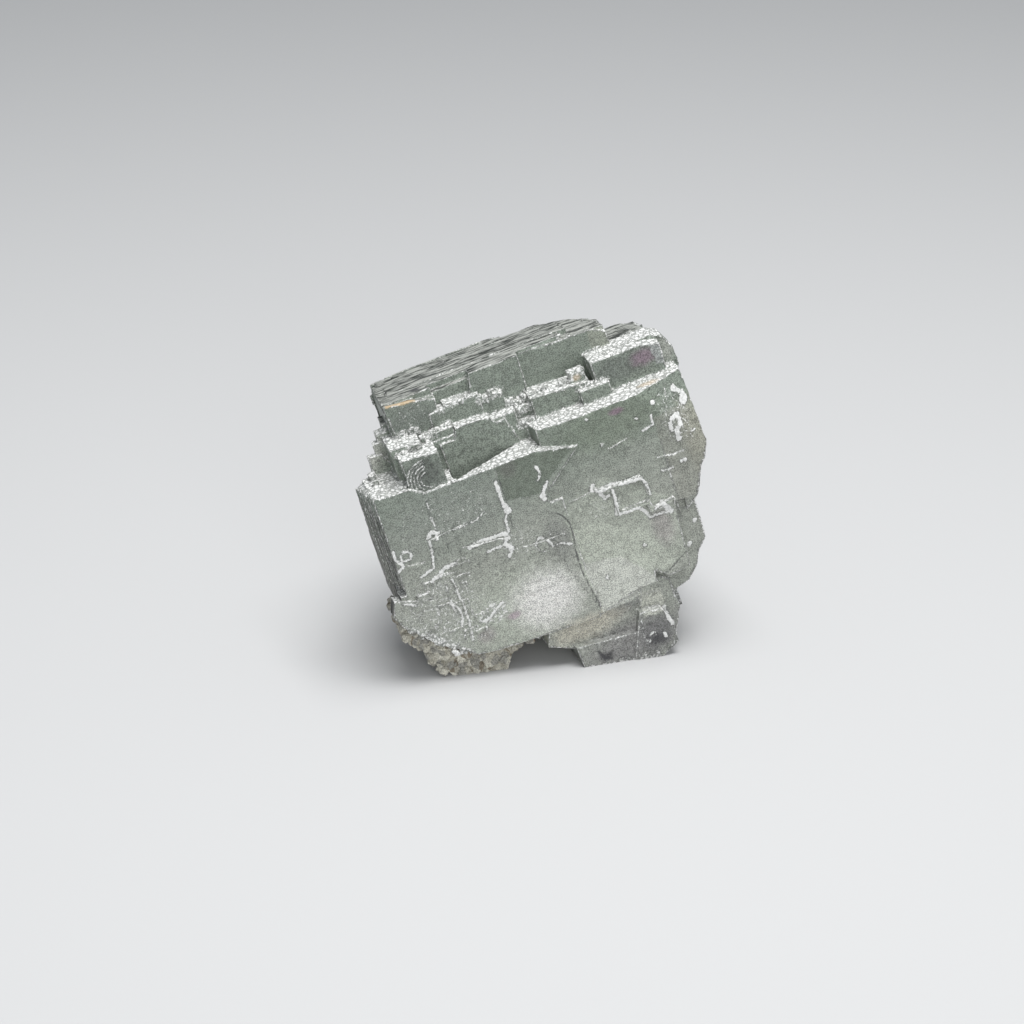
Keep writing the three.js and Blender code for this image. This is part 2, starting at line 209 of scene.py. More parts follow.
# %% Crumbs in the corners of the ledges
dice = random.Random(5)
CRUMB_LINES = [  # start, end, how many, size in mm
    ((1.2, -0.6, -4.5), (1.6, -0.6, -7.2), 6, 0.9),
    ((5.1, 2.9, -3.0), (8.8, 3.6, -3.1), 7, 0.7),
    ((4.6, 3.7, -6.4), (8.9, 3.9, -6.6), 7, 0.8),
    ((9.2, 3.0, -4.9), (13.2, 3.1, -6.2), 8, 0.8),
    ((6.6, -2.2, -0.7), (10.8, -2.2, -0.7), 6, 0.7),
    ((19.0, 1.6, -6.3), (24.4, 1.6, -6.0), 12, 1.0),
    ((18.0, 4.7, -6.6), (21.0, 4.6, -6.9), 8, 0.9),
    ((21.2, 2.6, -7.0), (24.8, 2.5, -7.1), 8, 0.9),
    ((12.4, 5.5, -6.5), (17.6, 5.7, -6.7), 7, 0.6),
    ((24.6, 3.0, -6.0), (33.0, 2.4, -6.2), 11, 0.9),
    ((24.8, -0.1, -4.4), (33.0, -0.1, -4.5), 7, 0.5),
    ((33.4, -0.1, -4.4), (42.5, -0.2, -4.6), 8, 0.5),
    ((30.8, 1.9, -4.6), (34.8, 1.8, -4.6), 5, 0.6),
    ((25.2, 7.8, -9.0), (35.2, 7.4, -9.2), 9, 0.5),
    ((33.6, 4.5, -8.7), (40.6, 4.4, -9.6), 9, 0.7),
    ((22.0, -0.1, -5.1), (24.2, -0.1, -4.8), 5, 0.9),
]
crumbs = []
for start, end, amount, size in CRUMB_LINES:
    start, end = Vector(start), Vector(end)
    for i in range(amount):
        spot = start.lerp(end, (i + dice.random()) / amount)
        spot += Vector([size * (dice.random() - 0.5) * 0.7 for axis in range(3)])
        half = Vector([size * dice.uniform(0.25, 0.62) for axis in range(3)])
        crumb = box(spot - half, spot + half)
        pull_about(crumb, 0.12 * size, len(crumbs))
        crumbs.append(crumb)
made = len(crumbs)
grow_onto(cluster, crumbs, "crumbs")
print("crumbs:", made, count(cluster))

# %% [markdown]
# One small face near the left carries curved growth lines, like the grooves of a record. Each line is
# a thin ring, half sunk into the face, and bisect cuts off the parts of it that would run too far.

# %% Curved growth lines
GROOVE_CENTRE = Vector((7.9, -0.7, -0.6))
arcs = []
for radius in (1.15, 1.6, 2.05, 2.5, 2.9):
    bpy.ops.mesh.primitive_torus_add(major_radius=radius, minor_radius=0.1, major_segments=56,
                                     minor_segments=6, location=GROOVE_CENTRE)
    arc = bpy.context.object
    bpy.ops.object.transform_apply(location=True)
    for past, facing in (((7.7, 0, 0), (1, 0, 0)), ((0, -1.9, 0), (0, -1, 0))):
        edit_all(arc)
        bpy.ops.mesh.bisect(plane_co=past, plane_no=facing, use_fill=True, clear_outer=True)
        leave_edit()
    arcs.append(arc)
grow_onto(cluster, arcs, "growth arcs")
print(count(cluster))

# %% [markdown]
# Low on the left the front face is scaly: thin plates overlap like shingles, each with a sharp upper
# lip and a foot that fades into the face. A box becomes such a plate when the lower edge of its front
# is pushed down into the face.

# %% Scales on the lower left
SCALES = 34
scales = []
for i in range(SCALES):
    a = dice.uniform(-0.2, 8.6)
    b = dice.uniform(-25.5, -13.8) + 0.12 * a
    wide, high, proud = dice.uniform(0.8, 2.6), dice.uniform(0.7, 2.0), dice.uniform(0.12, 0.34)
    if b < -15.6 - 1.45 * a:
        continue
    face_level = 0.35 if a < 3 and b > -20 else 0.0
    scale = box((a - wide / 2, b - high, face_level - 0.5), (a + wide / 2, b, face_level + proud))
    pull_about(scale, 0.16, i)
    foot = [point.co.y < b - high / 2 and point.co.z > face_level for point in scale.data.vertices]
    edit_where(scale, foot, "VERT")
    bpy.ops.transform.translate(value=(0, 0, -proud - 0.12))
    leave_edit()
    scales.append(scale)
made = len(scales)
grow_onto(cluster, scales, "scales")
print("scales:", made, count(cluster))

# %% [markdown]
# Sandy grains cling to the edge of the face low on the left, under the arch of the front edge hang
# two little lumps, and one skewed crystal sits high on a ledge. A grain is an icosphere of twenty
# faces with its points pulled about. It is modelled once, and each copy gets a turn and a size of its
# own.

# %% Grains on the edge and lumps under it
bpy.ops.mesh.primitive_ico_sphere_add(subdivisions=1, radius=1)
grain_pattern = bpy.context.object
pull_about(grain_pattern, 0.22, 8)


def grain_at(spot, radius):
    grain = grain_pattern.copy()
    grain.data = grain_pattern.data.copy()
    bpy.context.scene.collection.objects.link(grain)
    turn = Matrix.Rotation(dice.uniform(0, 6.3), 4, Vector([dice.gauss(0, 1) for k in range(3)]))
    size = Matrix.Diagonal([radius * dice.uniform(0.75, 1.25) for k in range(3)] + [1])
    grain.data.transform(Matrix.Translation(spot) @ turn @ size)
    return grain


SPILL = (Vector((-1.1, -19.8, -0.1)), Vector((5.4, -26.7, -0.1)))  # along the edge of the face
grains = []
for i in range(44):
    spot = SPILL[0].lerp(SPILL[1], dice.random() ** 0.7)
    spot += Vector((dice.gauss(0, 0.35), dice.gauss(0, 0.35), dice.uniform(-0.5, 0.1)))
    grains.append(grain_at(spot, dice.uniform(0.22, 0.5)))
grains.append(grain_at(Vector((15.0, -28.2, -0.8)), 0.62))
made = len(grains)
wedge = box((16.6, -29.9, -2.4), (19.4, -28.0, -0.5))
low_left = [point.co.y < -29 and point.co.x < 18 for point in wedge.data.vertices]
edit_where(wedge, low_left, "VERT")
bpy.ops.transform.translate(value=(0.7, 1.0, 0))
leave_edit()
lump = box((30.2, 2.3, -6.9), (32.3, 4.1, -5.4))
pull_about(lump, 0.32, 4)
grow_onto(cluster, grains + [wedge, lump], "grains and lumps")
print("grains:", made, count(cluster))
assert min((to_table @ v.co).z for v in cluster.data.vertices) > -1e-4, "something is under the table"

# %% [markdown]
# Flat faces with no points inside can't carry relief. Bisect with a plane, repeated at an even pitch
# in all three lattice directions, gives every face a grid of small squares, which keep the flat faces
# flat and the edges crisp. Places that need finer relief get finer cuts: hiding the rest first limits
# the cuts to them.

# %% Cut the faces into a grid
def show_only(thing, wanted):
    """Edit mode, with only the faces that are wanted shown. wanted takes a face."""
    flags = [wanted(face) for face in thing.data.polygons]
    edit_where(thing, flags)
    bpy.ops.mesh.hide(unselected=True)
    return sum(flags)


def reveal():
    bpy.ops.mesh.reveal(select=False)
    leave_edit()


def cut_grid(axis, low, high, pitch):
    facing = [float(i == axis) for i in range(3)]
    for i in range(int((high - low) / pitch) + 1):
        place = [low + i * pitch if k == axis else 0.0 for k in range(3)]
        bpy.ops.mesh.select_all(action="SELECT")
        bpy.ops.mesh.bisect(plane_co=place, plane_no=facing, threshold=MERGE)


LOW, HIGH = (-4.4, -35.4, -31.6), (46.1, 9.2, 1.1)  # round the crystals, on the bench
COARSE, FINE = 0.93, 0.465
show_only(cluster, lambda face: True)
for axis in range(3):
    cut_grid(axis, LOW[axis], HIGH[axis], COARSE)
reveal()
show_only(cluster, lambda face: face.center.z > REAR + 0.3 or face.center.y > 6.4)
for axis in range(3):
    cut_grid(axis, LOW[axis] + FINE, HIGH[axis], COARSE)
reveal()
print(count(cluster))

# %% [markdown]
# The top of the specimen is striped and so is the left flank: crystal sheets grew there one over the
# other. Extra cuts along the stripes let each sheet be lifted a little. The ledges get a finer grid
# too, for their lumpy frost.

# %% Finer cuts on the striped faces and the ledges
TOP_BACK = -17.5  # how far back, along c, the stripes of the top are cut


def on_top(face):
    return face.normal.y > 0.9 and face.center.y > 7.2 and face.center.z > TOP_BACK


def on_flank(face):
    return face.normal.x < -0.9 and face.center.x < 0.6 and face.center.z > REAR


def on_ledge(face):
    return face.normal.y > 0.9 and not on_top(face) and face.center.z > REAR


for striped, back, front in ((on_top, TOP_BACK, -7.0), (on_flank, REAR, -0.4)):
    show_only(cluster, striped)
    for start in (0.15, 0.31):
        cut_grid(2, back + start, front, FINE)
    reveal()
print("ledge squares:", show_only(cluster, on_ledge))
bpy.ops.mesh.select_all(action="SELECT")
bpy.ops.mesh.subdivide(number_cuts=1)
reveal()
print(count(cluster))

# %% [markdown]
# White marks run over the big front faces: ragged rims, lips and chips where the surface is rough and
# frosted. They are drawn like brush strokes, as lines on the lattice with a width. Dark seams, where
# two crystals meet, are drawn the same way. Each point of the mesh gets a number that says how near
# it is to a stroke: 1 at the rim of the stroke, and less further out. Such a number changes evenly,
# so a material that cuts it off at 1 draws a crisp rim even between the points. The squares under
# the strokes are cut once more, and then all faces become triangles.

# %% The strokes of frost
FRONT_STROKES = [  # points as (a, b), width in mm, strength
    ([(9.9, -11.7), (11.5, -11.6), (13.2, -11.7), (14.9, -11.7), (15.3, -12.6)], 0.38, 1.0),
    ([(13.9, -13.1), (12.0, -13.2)], 0.3, 0.8),
    ([(15.2, -12.0), (14.5, -13.0), (15.3, -14.2), (14.6, -15.0)], 0.5, 0.8),
    ([(16.0, -4.3), (16.0, -5.8), (16.0, -7.8), (16.2, -9.1)], 0.36, 0.9),
    ([(16.2, -8.0), (16.5, -8.9)], 0.5, 1.0),
    ([(16.1, -9.1), (15.6, -9.9), (15.6, -11.7)], 0.28, 0.8),
    ([(5.2, -8.3), (5.9, -7.7), (6.6, -8.2), (6.2, -8.7)], 0.42, 1.0),
    ([(5.2, -8.8), (5.0, -11.0), (4.6, -12.7), (3.4, -13.1), (2.6, -13.3)], 0.26, 0.9),
    ([(3.8, -14.4), (5.2, -13.9), (5.9, -13.3), (7.5, -13.2)], 0.36, 1.0),
    ([(6.4, -15.1), (6.5, -17.0), (6.7, -19.2), (6.8, -21.1), (6.4, -24.9)], 0.26, 0.7),
    ([(5.4, -15.7), (5.2, -17.7), (5.4, -19.7)], 0.24, 0.6),
    ([(5.1, -18.5), (5.9, -19.4), (6.1, -21.1), (5.6, -22.2)], 0.28, 0.8),
    ([(8.1, -22.7), (9.2, -22.9), (10.8, -21.7), (11.8, -21.2)], 0.6, 0.0),
    ([(9.6, -21.4), (8.5, -24.2)], 0.4, 0.0),
    ([(1.3, -9.0), (2.2, -9.1), (2.4, -9.8), (1.9, -10.3), (0.9, -10.2), (1.0, -9.3)], 0.26, 0.8),
    ([(0.2, -8.4), (0.2, -9.6), (0.9, -10.9), (0.1, -11.4)], 0.34, 0.8),
    ([(-0.9, -15.9), (0.7, -16.7)], 0.26, 0.8),
    ([(6.6, -3.1), (6.4, -5.3), (6.6, -7.7)], 0.22, 0.5),
    ([(8.6, -8.4), (9.9, -8.5), (11.8, -8.5), (13.3, -7.7)], 0.2, 0.6),
    ([(18.4, -15.0), (19.0, -14.2), (19.8, -14.4), (20.3, -15.2), (20.6, -16.0), (21.5, -16.0),
      (23.1, -16.8)], 0.22, 0.85),
    ([(18.4, -15.0), (18.7, -16.1), (19.5, -16.4)], 0.16, 0.6),
    ([(20.7, -13.9), (20.8, -15.1)], 0.12, 0.5),
    ([(21.6, -14.2), (21.7, -15.3)], 0.12, 0.5),
    ([(22.5, -14.4), (22.7, -15.6)], 0.12, 0.5),
    ([(21.6, -4.3), (21.9, -5.2), (21.6, -6.0), (21.3, -6.2)], 0.2, 1.0),
    ([(22.5, -6.9), (21.7, -7.9), (21.3, -8.7)], 0.26, 1.0),
    ([(21.3, -8.6), (21.5, -9.1)], 0.5, 1.0),
    ([(0.3, -22.3), (1.8, -24.5), (4.1, -26.3)], 0.9, 0.5),
]
RIGHT_STROKES = [
    ([(29.2, -35.2), (29.2, -34.3), (30.1, -34.0), (30.4, -34.7)], 0.16, 0.9),
    ([(31.4, -34.8), (31.6, -35.4)], 0.4, 0.9),
    ([(29.4, -30.2), (29.5, -28.5), (32.7, -28.9)], 0.1, 0.7),
    ([(32.6, -31.7), (32.6, -33.0), (33.0, -34.0)], 0.45, 0.8),
    ([(29.0, -31.0), (28.6, -33.4), (28.9, -36.6)], 0.12, 0.6),
    ([(27.7, -10.6), (28.9, -11.1), (30.7, -10.9), (32.1, -11.2), (34.6, -11.5)], 0.36, 1.0),
    ([(28.1, -10.2), (28.2, -10.8)], 0.5, 1.0),
    ([(28.8, -11.6), (29.3, -12.6), (29.9, -12.3)], 0.34, 0.9),
    ([(30.5, -11.5), (30.5, -13.0), (30.2, -15.2)], 0.3, 0.9),
    ([(30.1, -15.3), (31.7, -15.4), (33.1, -15.5)], 0.36, 1.0),
    ([(34.7, -11.6), (35.2, -13.4), (35.2, -14.4)], 0.26, 0.8),
    ([(33.1, -15.4), (34.0, -16.7), (34.3, -17.6), (35.7, -17.6), (37.4, -17.8)], 0.32, 1.0),
    ([(36.4, -16.1), (37.0, -17.3)], 0.5, 1.0),
    ([(35.2, -16.5), (36.4, -16.1)], 0.26, 0.8),
    ([(41.0, -5.1), (41.9, -5.0), (41.9, -6.5), (41.1, -6.9), (41.1, -8.2)], 0.5, 1.0),
    ([(40.6, -5.5), (40.5, -6.7)], 0.4, 0.9),
    ([(43.6, -1.2), (42.8, -1.8), (43.9, -2.8), (43.4, -3.8)], 0.95, 0.9),
    ([(38.4, -3.5), (38.3, -5.0), (36.8, -5.2)], 0.26, 0.7),
    ([(39.0, -1.9), (39.2, -2.1)], 0.42, 0.9),
    ([(37.7, -11.7), (39.1, -11.8)], 0.28, 0.9),
    ([(40.6, -11.4), (41.1, -11.4)], 0.45, 0.75),
    ([(43.5, -7.9), (42.7, -8.1)], 0.24, 0.8),
    ([(30.0, -0.8), (30.05, -0.85)], 0.26, 1.0),
    ([(30.9, -5.0), (30.95, -5.05)], 0.22, 1.0),
    ([(36.4, -3.2), (36.45, -3.25)], 0.28, 0.9),
    ([(32.5, -21.2), (32.55, -21.3)], 0.4, 0.8),
    ([(26.3, -23.5), (26.3, -23.9)], 0.36, 0.7),
    ([(40.3, -21.1), (40.2, -21.3)], 0.4, 0.9),
    ([(38.7, -24.2), (38.5, -24.4)], 0.5, 0.8),
    ([(38.7, -7.4), (38.6, -12.0), (38.7, -16.7), (38.5, -20.6)], 0.16, 0.5),
]
SEAMS = [
    ([(22.4, -11.8), (23.2, -12.7), (23.7, -14.1), (23.6, -15.8), (23.3, -18.0), (23.2, -21.2),
      (23.7, -24.4), (24.3, -27.6)], 0.14, 1.0),
    ([(21.4, -18.6), (22.0, -21.4), (22.9, -24.2), (24.2, -27.6)], 0.14, 0.8),
    ([(6.5, -3.2), (6.8, -6.8), (7.3, -8.8), (7.0, -14.1), (7.2, -17.3), (7.0, -20.4), (7.1, -23.6)],
     0.1, 0.7),
    ([(16.5, -4.1), (16.6, -7.1), (16.2, -11.7)], 0.12, 0.9),
    ([(8.7, -11.7), (8.0, -14.5)], 0.12, 0.8),
    ([(37.3, -17.3), (38.0, -20.8), (38.0, -24.0)], 0.1, 0.8),
    ([(33.3, -26.4), (34.7, -26.2), (37.7, -24.4)], 0.14, 0.9),
    ([(27.0, -14.0), (27.2, -15.6), (29.6, -17.0)], 0.1, 0.6),
    ([(27.4, -2.4), (28.0, -10.3)], 0.1, 0.5),
    ([(27.0, -34.6), (26.5, -36.7)], 0.12, 0.9),
    ([(22.0, -33.6), (22.6, -34.9), (23.5, -35.4)], 0.4, 0.8),
]
REACH = 0.6  # mm outside a stroke where its number comes down to 0


def away_from(points, start, end):
    """How far each point is from the line between start and end."""
    start, along = np.array(start), np.array(end) - np.array(start)
    share = np.clip((points - start) @ along / (along @ along), 0, 1)
    return np.linalg.norm(points - start - share[:, None] * along, axis=1)


def nearness(points, line, width):
    """1 at the rim of a stroke, more inside, 0 at REACH outside it, for (a, b) points."""
    away = np.min([away_from(points, *ends) for ends in zip(line[:-1], line[1:])], axis=0)
    return 1 - (away - 0.6 * width) / REACH


def strokes_near(co, *lists):
    """How near each bench point is to the strokes; a weak stroke counts as a little further off."""
    near_face = (co[:, 2] > -2.4) & (co[:, 2] < 0.9)  # the depths of the big front faces
    strength = np.zeros(len(co))
    for strokes, left, right in lists:
        here = np.flatnonzero(near_face & (co[:, 0] > left) & (co[:, 0] <= right))
        for line, width, amount in strokes:
            value = nearness(co[here, :2], line, width) - 0.35 * (1 - amount)
            strength[here] = np.maximum(strength[here], value)
    return strength


LEFT_END, MIDDLE_EDGE, RIGHT_END = -9, 23.9, 60  # along a: the edge parts the two big faces
FROST_LISTS = ((FRONT_STROKES, LEFT_END, MIDDLE_EDGE), (RIGHT_STROKES, MIDDLE_EDGE, RIGHT_END))
SEAM_LISTS = ((SEAMS, LEFT_END, RIGHT_END),)


def numbers_of(collection, field, width):
    values = np.empty(len(collection) * width)
    collection.foreach_get(field, values)
    return values.reshape(-1, width) if width > 1 else values


centres = numbers_of(cluster.data.polygons, "center", 3)
facing = numbers_of(cluster.data.polygons, "normal", 3)
near = np.maximum(strokes_near(centres, *FROST_LISTS), strokes_near(centres, *SEAM_LISTS))
marked = (near > 0.5) & (facing[:, 2] > 0.7)
edit_where(cluster, marked)
bpy.ops.mesh.subdivide(number_cuts=1)
bpy.ops.mesh.select_all(action="SELECT")
bpy.ops.mesh.quads_convert_to_tris()
leave_edit()
print("squares under strokes:", int(marked.sum()), count(cluster))

# %% [markdown]
# So many cuts leave a few slivers where three faces meet at one edge, or only one. In a closed skin
# it is always two. Select Non Manifold finds the places, their points are deleted, and Fill Holes
# closes the little gaps again.

# %% Mend the skin
def select_faulty():
    bpy.ops.mesh.select_all(action="DESELECT")
    bpy.ops.mesh.select_non_manifold()
    return cluster.data.total_vert_sel


edit_all(cluster, "VERT")
print("points on faulty edges:", select_faulty())
bpy.ops.mesh.delete(type="VERT")
leave_edit()
edit_all(cluster, "EDGE")
select_faulty()
bpy.ops.mesh.fill_holes(sides=0)
bpy.ops.mesh.select_all(action="SELECT")
bpy.ops.mesh.quads_convert_to_tris()
bpy.ops.mesh.delete_loose(use_verts=True, use_edges=True, use_faces=False)
bpy.ops.mesh.select_all(action="SELECT")
bpy.ops.mesh.normals_make_consistent(inside=False)
print("after mending:", select_faulty())
leave_edit()
print(count(cluster))

# %% [markdown]
# The edges matter as much as the faces. An edge that stands out gets chipped and whitish, and a
# corner that goes in collects frost. Both are found by comparing the two faces that share each edge.

# %% Find the edges that stand out and the corners that go in
SHARP = 0.25  # a bend of 0 is flat, 1 a right angle and 2 back to back


def neighbours(mesh):
    """The three points of each face, and for each edge its two points, its two faces and their bend."""
    corners = numbers_of(mesh.loops, "vertex_index", 1).astype(int).reshape(-1, 3)
    normals = numbers_of(mesh.polygons, "normal", 3)
    pairs = np.sort(np.concatenate([corners[:, [0, 1]], corners[:, [1, 2]], corners[:, [2, 0]]]), axis=1)
    faces = np.tile(np.arange(len(corners)), 3)
    order = np.lexsort((pairs[:, 1], pairs[:, 0]))
    pairs, faces = pairs[order], faces[order]
    twin = np.flatnonzero((pairs[:-1] == pairs[1:]).all(axis=1))
    one, other = faces[twin], faces[twin + 1]
    bend = 1 - np.einsum("ij,ij->i", normals[one], normals[other])
    return corners, pairs[twin], one, other, bend


def edge_numbers(mesh):
    """Two numbers from 0 to 1 for each point: on an edge that stands out, and in a corner."""
    corners, pairs, one, other, bend = neighbours(mesh)
    middles = numbers_of(mesh.polygons, "center", 3)
    normals = numbers_of(mesh.polygons, "normal", 3)
    outside = np.einsum("ij,ij->i", middles[other] - middles[one], normals[one]) < 0
    ridge, corner = np.zeros(len(mesh.vertices)), np.zeros(len(mesh.vertices))
    for wanted, values in ((outside, ridge), (~outside, corner)):
        values[pairs[wanted & (bend > SHARP)].ravel()] = 1
    return ridge, corner


co = numbers_of(cluster.data.vertices, "co", 3)
normal = numbers_of(cluster.data.vertices, "normal", 3)
ridge, corner = edge_numbers(cluster.data)
in_front = co[:, 2] > REAR + 0.2
striped_top = (co[:, 1] > 7.0) & (normal[:, 1] > 0.5) & (co[:, 2] > TOP_BACK)
striped_flank = (normal[:, 0] < -0.6) & (co[:, 0] < 1.0) & in_front
ledge = np.clip(2 * normal[:, 1] - 0.6, 0, 1) * in_front * ~striped_top
looks_forward = normal[:, 2] > 0.2
strokes = strokes_near(co, *FROST_LISTS) * looks_forward
seams = strokes_near(co, *SEAM_LISTS) * looks_forward
rubble = np.zeros(len(co))
whitened = [(start, end, size) for start, end, amount, size in CRUMB_LINES]
whitened += [(*SPILL, 0.8), ((30.4, 3.9, -5.6), (32.0, 3.9, -5.9), 1.4),
             ((33.3, 1.4, -5.2), (33.3, 3.6, -7.5), 0.9)]
for start, end, size in whitened:
    rubble = np.maximum(rubble, np.clip(1.3 - away_from(co, start, end) / size, 0, 0.75))
corner_frost = np.maximum(0.7 * corner * (co[:, 1] > -5), rubble) * in_front
in_grooves = np.linalg.norm(co - np.array(GROOVE_CENTRE), axis=1) < 3.2
print("points on edges:", int(ridge.sum()), "in corners:", int(corner.sum()))

# %% [markdown]
# Relief comes from Displace modifiers. Most of them move the points by a cloud pattern, and a vertex
# group says where and how much. The strokes are simply raised and the seams sunk. For the stripes the
# cloud is read through an empty that is stretched along the stripe, which draws the cloud out into
# long streaks.

# %% Relief
def remember(name, values):
    """Keeps a number for each point of the crystals, for their material."""
    attribute = cluster.data.attributes.new(name, "FLOAT", "POINT")
    attribute.data.foreach_set("value", values)


def weigh(name, weights):
    group = cluster.vertex_groups.new(name=name)
    for level_of_weight in range(1, 11):
        chosen = np.flatnonzero(np.round(weights * 10) == level_of_weight)
        if len(chosen):
            group.add(chosen.tolist(), level_of_weight / 10, "REPLACE")


def clouds(name, size, depth=2):
    texture = bpy.data.textures.new(name, "CLOUDS")
    texture.noise_scale = size
    texture.noise_depth = depth
    texture.noise_basis = "ORIGINAL_PERLIN"
    return texture


def stretched_empty(name, scale):
    bpy.ops.object.empty_add()
    empty = bpy.context.object
    empty.name = name
    empty.scale = scale
    bpy.context.view_layer.update()
    return empty


def relief(group, strength, texture=None, along=None, direction="NORMAL"):
    settings = dict(texture=texture, strength=strength, mid_level=0.5 if texture else 0.0,
                    direction=direction, vertex_group=group)
    if along:
        settings.update(texture_coords="OBJECT", texture_coords_object=along)
    apply_modifier(cluster, "DISPLACE", **settings)


remember("stroke", strokes)
remember("seam", seams)
remember("ridge", ridge * np.where(in_front & ~in_grooves, 1, 0.7))
remember("corner", corner_frost * np.where(in_grooves, 0.5, 1))
lift = np.clip(2.5 * strokes - 1.7, 0, 1)
weigh("frost", np.clip(np.maximum(0.8 * ledge, np.maximum(lift, corner_frost)), 0, 1))
weigh("stroke", lift)
weigh("seam", np.clip(3 * seams - 2, 0, 1))
weigh("ridge", ridge * (co[:, 1] > -27))  # the underside keeps its edges
weigh("top", striped_top.astype(float))
weigh("flank", striped_flank.astype(float))
weigh("all", np.ones(len(co)))
along_top = stretched_empty("along the top stripes", (5, 3, 0.5))
along_flank = stretched_empty("along the flank stripes", (3, 8, 0.42))
relief("ridge", 0.34, clouds("edge wobble", 1.3), direction="RGB_TO_XYZ")
relief("stroke", 0.07)
relief("seam", -0.09)
relief("top", 0.5, clouds("top sheets", 1), along_top, "Y")
relief("flank", 0.4, clouds("flank sheets", 1), along_flank, "X")
relief("frost", 0.42, clouds("frost lumps", 0.5, 1))
relief("all", 0.09, clouds("uneven faces", 1.6, 3))
relief("all", 0.07, clouds("rough faces", 0.45, 1))
for empty in (along_top, along_flank):
    bpy.data.objects.remove(empty)
cluster.vertex_groups.clear()
print(count(cluster))

# %% [markdown]
# Where the mesh is dense, the relief can push a point past its neighbour, and the skin folds back
# over itself. A fold shows as a small dark triangle. Two neighbours that face opposite ways give it
# away, and Smooth Vertices draws their points out flat again.

# %% Smooth out the folds
FOLDED = 1.8  # a bend that is nearly back to back
for smoothing in range(6):
    corners, pairs, one, other, bend = neighbours(cluster.data)
    folded = corners[np.concatenate([one[bend > FOLDED], other[bend > FOLDED]])]
    chosen = np.zeros(len(cluster.data.vertices), dtype=bool)
    chosen[folded.ravel()] = True
    edit_where(cluster, chosen, "VERT")
    bpy.ops.mesh.vertices_smooth(factor=0.5, repeat=3)
    leave_edit()
    print("smoothing", smoothing + 1, "points in folds:", int(chosen.sum()))

# %% [markdown]
# Back to the table: one transform puts the mesh in its true place and size. The object itself stays
# at the origin, unturned and unscaled.

# %% Put the crystals on the table
def set_down(thing):
    """Moves a piece from the bench to the table, with nothing below the table's top."""
    thing.data.transform(to_table)
    lowest = min(point.co.z for point in thing.data.vertices)
    print(thing.name, "reached down to", round(lowest * 1000, 3), "mm")
    for point in thing.data.vertices:
        point.co.z = max(point.co.z, 0.0)


set_down(cluster)
select_only(cluster)
bpy.ops.object.shade_smooth_by_angle(angle=math.radians(32))
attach(cluster, "root")
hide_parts("crystal_cluster")

# %% [markdown]
# The crust under the left foot is a mass of sandy grains, cemented together. The solid model gives
# its bulk, and more copies of the grain sit on random spots of its open sides.

# %% The sandy crust
crust = copy_to_bench("grain_crust", "sandy_crust")
leave_edit()
open_faces = [face for face in crust.data.polygons if face.normal.y < 0.5 and face.area > 0.02]
areas = [face.area for face in open_faces]
GRAINS = 560
grains = []
while len(grains) < GRAINS:
    face = dice.choices(open_faces, areas)[0]
    ends = [crust.data.vertices[i].co for i in face.vertices]
    shares = sorted((dice.random(), dice.random()))
    shares = (shares[0], shares[1] - shares[0], 1 - shares[1])
    spot = sum((share * end for share, end in zip(shares, ends)), Vector())
    radius = dice.uniform(0.18, 0.52)
    if (to_table @ spot).z < 0.0011 * radius:
        continue
    grains.append(grain_at(spot - 0.2 * radius * face.normal, radius))
bpy.data.objects.remove(grain_pattern)
grow_onto(crust, grains, "grains")
print("grains:", GRAINS, count(crust))
set_down(crust)
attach(crust, "root")
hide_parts("grain_crust")

# %% [markdown]
# Materials are built from nodes. A few short helpers keep the cells readable: one adds a node and
# fills or links its inputs, and the others wrap the sums that come up again and again. A socket knows
# which node tree it is in, so most of them are not told.

# %% Helpers for node trees
def add_node(tree, kind, inputs=None, **settings):
    """A shader node of this kind, its settings made and its inputs filled or linked."""
    made_node = tree.nodes.new("ShaderNode" + kind)
    for name, value in settings.items():
        setattr(made_node, name, value)
    for name, value in (inputs or {}).items():
        socket = made_node.inputs[name]
        if isinstance(value, bpy.types.NodeSocket):
            tree.links.new(value, socket)
        else:
            socket.default_value = value
    return made_node


def tree_of(values):
    """The node tree of the first value that is a socket."""
    return next(value.id_data for value in values if isinstance(value, bpy.types.NodeSocket))


def reckon(operation, *values, clamp=False):
    """One Math node on one or two values."""
    return add_node(tree_of(values), "Math", dict(enumerate(values)),
                    operation=operation, use_clamp=clamp).outputs[0]


def times(one, other):
    return reckon("MULTIPLY", one, other)


def plus(one, other):
    return reckon("ADD", one, other)


def larger(one, other):
    return reckon("MAXIMUM", one, other)


def reckon_vector(operation, *values, output=0):
    return add_node(tree_of(values), "VectorMath", dict(enumerate(values)),
                    operation=operation).outputs[output]


def step_up(value, low, high):
    """0 below low, 1 above high, smooth between them."""
    inputs = {"Value": value, "From Min": low, "From Max": high}
    return add_node(value.id_data, "MapRange", inputs, interpolation_type="SMOOTHSTEP").outputs[0]


def mix_colour(share, one, other):
    inputs = {0: share, 6: one, 7: other}
    return add_node(share.id_data, "Mix", inputs, data_type="RGBA").outputs[2]


def noise(place, scale, detail=2.0, roughness=0.5):
    inputs = {"Vector": place, "Scale": scale, "Detail": detail, "Roughness": roughness}
    return add_node(place.id_data, "TexNoise", inputs).outputs["Fac"]


def cells(place, scale):
    """The distance to the nearest edge between cells that fill the space."""
    inputs = {"Vector": place, "Scale": scale, "Randomness": 1.0}
    return add_node(place.id_data, "TexVoronoi", inputs, feature="DISTANCE_TO_EDGE").outputs["Distance"]


def on_lattice(tree):
    """Places in millimetres on the lattice, from Object coordinates."""
    place = add_node(tree, "TexCoord").outputs["Object"]
    inputs = {"Vector": place, "Location": ORIGIN, "Rotation": lattice.to_euler(),
              "Scale": (0.001, 0.001, 0.001)}
    return add_node(tree, "Mapping", inputs, vector_type="TEXTURE").outputs[0]


